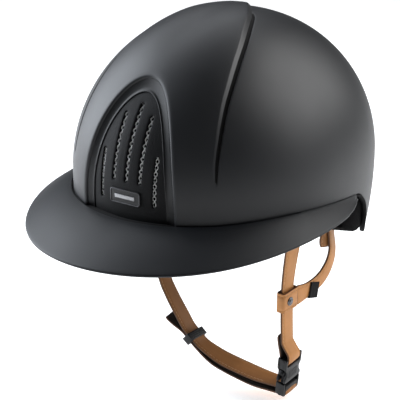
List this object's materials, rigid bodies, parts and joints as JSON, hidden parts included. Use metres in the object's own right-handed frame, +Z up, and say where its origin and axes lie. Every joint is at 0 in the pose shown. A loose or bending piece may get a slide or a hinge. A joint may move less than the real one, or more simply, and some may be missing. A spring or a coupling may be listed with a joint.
{
  "type": "equestrian riding helmet",
  "caption": "Hard-shell riding helmet with a wide brim, slotted front vent panel, padded foam liner and leather chin harness with a side-release buckle.",
  "frame": {"origin": "centre of the head opening, in the plane of the joint between shell and brim, at the shell's widest section", "axes": "+Z up through the crown, -Y towards the brim (front), +X towards the wearer's left"},
  "size_m": [0.251, 0.3206, 0.3149],
  "materials": {
    "shell_plastic": "matte, blue-black",
    "visor_plastic": "matte, blue-black",
    "trim_rubber": "matte",
    "grill_plastic": "fine grained",
    "wire_mesh": "bright woven wire",
    "badge": "satin, raised border",
    "foam": "expanded foam, matte black",
    "pad_fabric": "black knitted mesh",
    "hook_tape": "hook-and-loop",
    "rivet_metal": "dark",
    "leather_tan": "tan, smooth, stitched edges",
    "stud_metal": "dark chrome",
    "label_weave": "woven, blank",
    "buckle_plastic": "fine textured black"
  },
  "bodies": {
    "helmet": {"outer_shell": "shell_plastic", "visor": "visor_plastic", "visor_gasket": "trim_rubber", "rim_trim": "trim_rubber", "grill_frame": "grill_plastic", "front_grill": "grill_plastic", "vent_mesh": "wire_mesh", "badge_plate": "badge", "eps_liner": "foam", "crown_pad": "pad_fabric", "brow_pad": "pad_fabric", "left_temple_pad": "pad_fabric", "right_temple_pad": "pad_fabric", "nape_pad": "pad_fabric", "hook_patches": "hook_tape", "strap_rivets": "rivet_metal", "rear_strap_tail": "leather_tan"},
    "harness": {"left_front_strap": "leather_tan", "right_front_strap": "leather_tan", "left_rear_strap": "leather_tan", "right_rear_strap": "leather_tan", "left_junction_loop": "leather_tan", "right_junction_loop": "leather_tan", "junction_studs": "stud_metal", "label_tag": "label_weave", "buckle_housing": "buckle_plastic"},
    "chin": {"chin_strap": "leather_tan", "strap_return": "leather_tan", "buckle_plug": "buckle_plastic"},
    "front_prong": {"front_prong": "buckle_plastic"},
    "rear_prong": {"rear_prong": "buckle_plastic"},
    "slider": {"strap_slider": "buckle_plastic"}
  },
  "joints": [
    {"name": "harness_swing", "type": "hinge", "parent": "helmet", "child": "harness", "pos_m": [0, -0.013, 0.001], "axis": [1, 0, 0], "range_deg": [-15, 20], "stiffness_Nm_per_rad": 0.1, "deforming": ["left_rear_strap", "right_rear_strap"]},
    {"name": "buckle_release", "type": "slide", "parent": "harness", "child": "chin", "axis": [-0.172, 0.1392, -0.9752], "range_m": [0, 0.022]},
    {"name": "front_prong_squeeze", "type": "hinge", "parent": "chin", "child": "front_prong", "pos_m": [0.06506, -0.00679, -0.16329], "axis": [0.9848, 0, -0.1736], "range_deg": [-12, 0], "stiffness_Nm_per_rad": 0.1},
    {"name": "rear_prong_squeeze", "type": "hinge", "parent": "chin", "child": "rear_prong", "pos_m": [0.06536, 0.00549, -0.16159], "axis": [0.9848, 0, -0.1736], "range_deg": [0, 12], "stiffness_Nm_per_rad": 0.1},
    {"name": "slider_travel", "type": "slide", "parent": "chin", "child": "slider", "axis": [0.7494, 0.06, -0.6594], "range_m": [-0.004, 0.004]}
  ]
}
